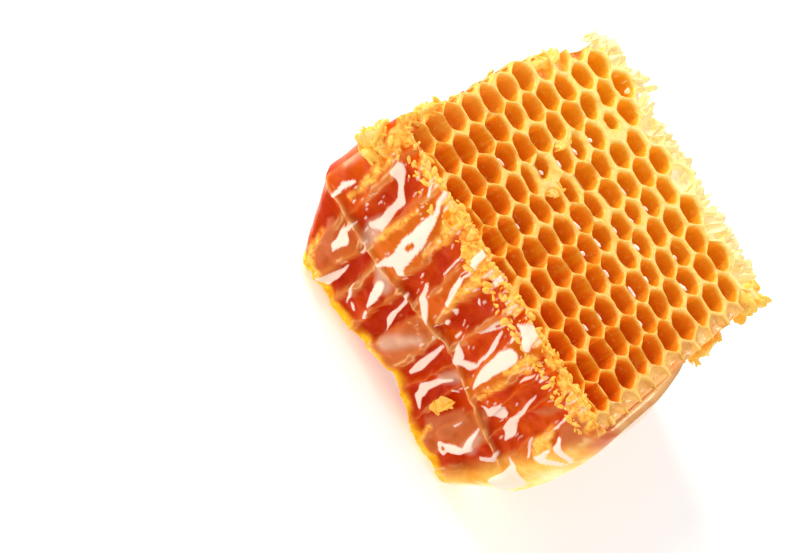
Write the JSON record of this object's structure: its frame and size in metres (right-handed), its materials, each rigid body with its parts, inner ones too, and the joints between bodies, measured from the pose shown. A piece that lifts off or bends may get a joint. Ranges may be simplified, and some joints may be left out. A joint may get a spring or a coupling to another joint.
{
  "type": "honeycomb piece",
  "caption": "Cut piece of honeycomb: wax comb with hexagonal cells on both faces, and glossy amber honey over its cut front side.",
  "frame": {"origin": "on the surface that the piece rests on, under the middle of its bounding box", "axes": "+Z out of the upper comb face, -Y out of the honeyed cut side, X along that side"},
  "size_m": [0.0618, 0.0673, 0.0306],
  "materials": {
    "wax": "translucent golden wax, satin",
    "honey": "wet, clear amber, mirror gloss"
  },
  "bodies": {
    "root": {"comb": "wax", "honey": "honey"}
  },
  "joints": []
}
